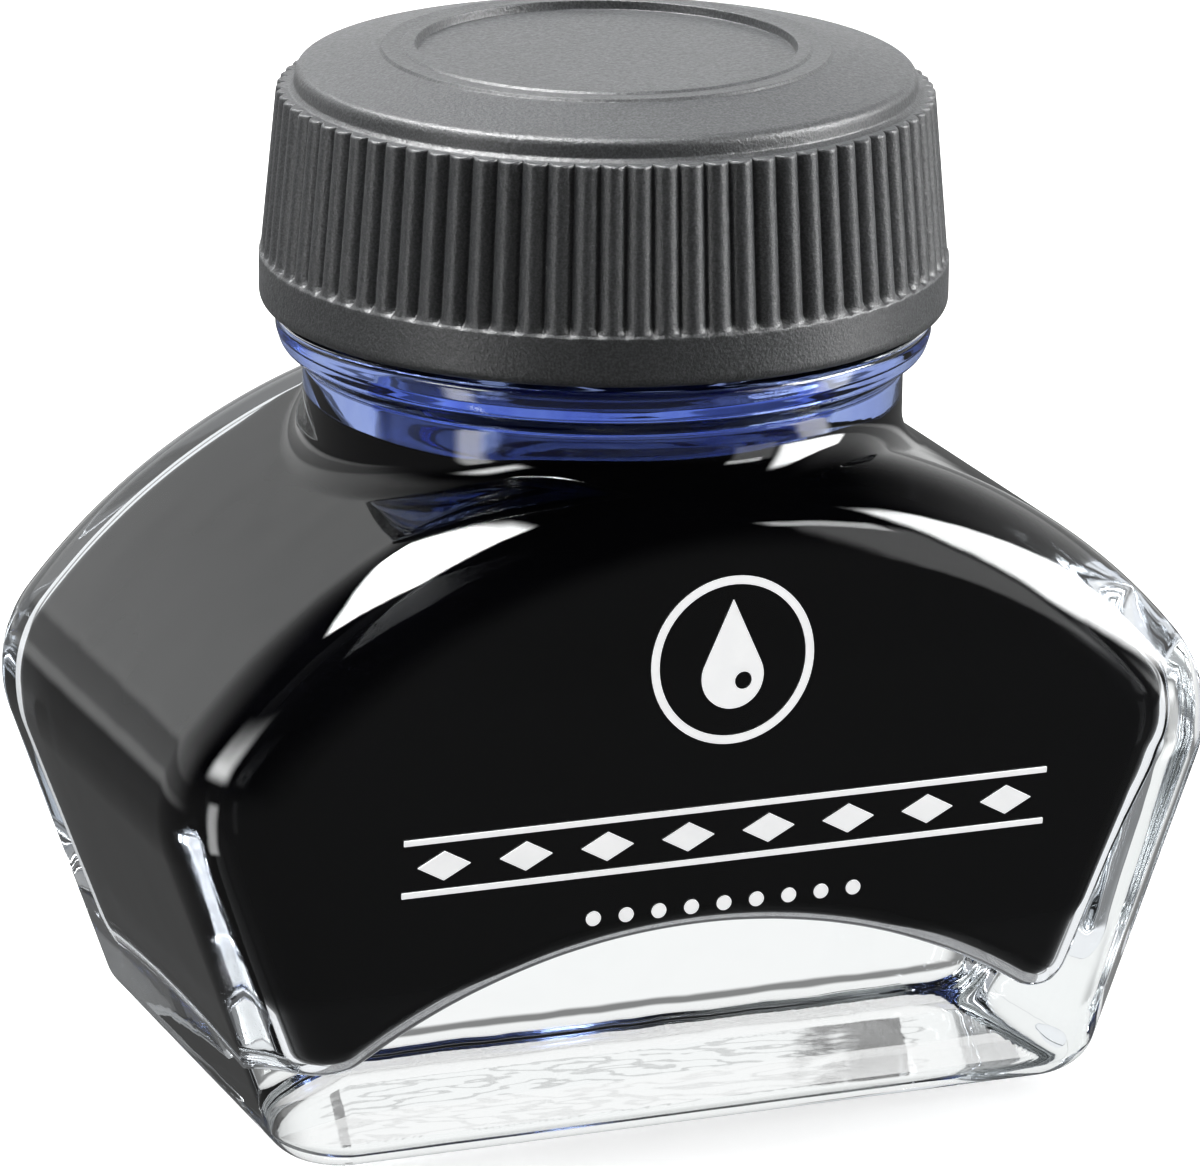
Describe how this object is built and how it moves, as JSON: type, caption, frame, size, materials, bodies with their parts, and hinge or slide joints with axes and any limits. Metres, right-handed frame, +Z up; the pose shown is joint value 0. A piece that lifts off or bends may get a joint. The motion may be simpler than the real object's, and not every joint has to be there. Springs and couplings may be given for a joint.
{
  "type": "ink bottle",
  "caption": "Squat clear-glass ink bottle with sloping shoulders, a domed floor, a screw neck and a ribbed plastic screw cap with a liner.",
  "frame": {"origin": "centre of the flat base, on the axis of the neck", "axes": "+Z up along the neck and cap axis, front face with the printed decoration towards -Y, width along X"},
  "size_m": [0.061, 0.0387, 0.0571],
  "materials": {
    "clear_glass": "clear polished soda-lime glass",
    "black_ink": "opaque blue-black liquid",
    "ink_film": "thin translucent blue film",
    "cap_plastic": "fine spark-eroded matte texture",
    "liner_foam": "closed-cell foam",
    "liner_facing": "smooth film",
    "white_print": "fired white screen print"
  },
  "bodies": {
    "bottle": {"glass_bottle": "clear_glass", "ink_fill": "black_ink", "neck_ink_film": "ink_film", "print_emblem": "white_print", "print_band": "white_print", "print_underline": "white_print"},
    "liner": {"liner_foam": "liner_foam", "liner_facing": "liner_facing"},
    "cap": {"cap_shell": "cap_plastic"}
  },
  "joints": [
    {"name": "cap_lift", "type": "slide", "parent": "bottle", "child": "liner", "axis": [0, 0, 1], "range_m": [0, 0.0128]},
    {"name": "cap_turn", "type": "hinge", "parent": "liner", "child": "cap", "pos_m": [0, 0, 0.05], "axis": [0, 0, 1], "range_deg": [0, 1080]}
  ],
  "couplings": [
    {"joint": "cap_lift", "follows": "cap_turn", "m_per_rad": 0.00067375}
  ]
}
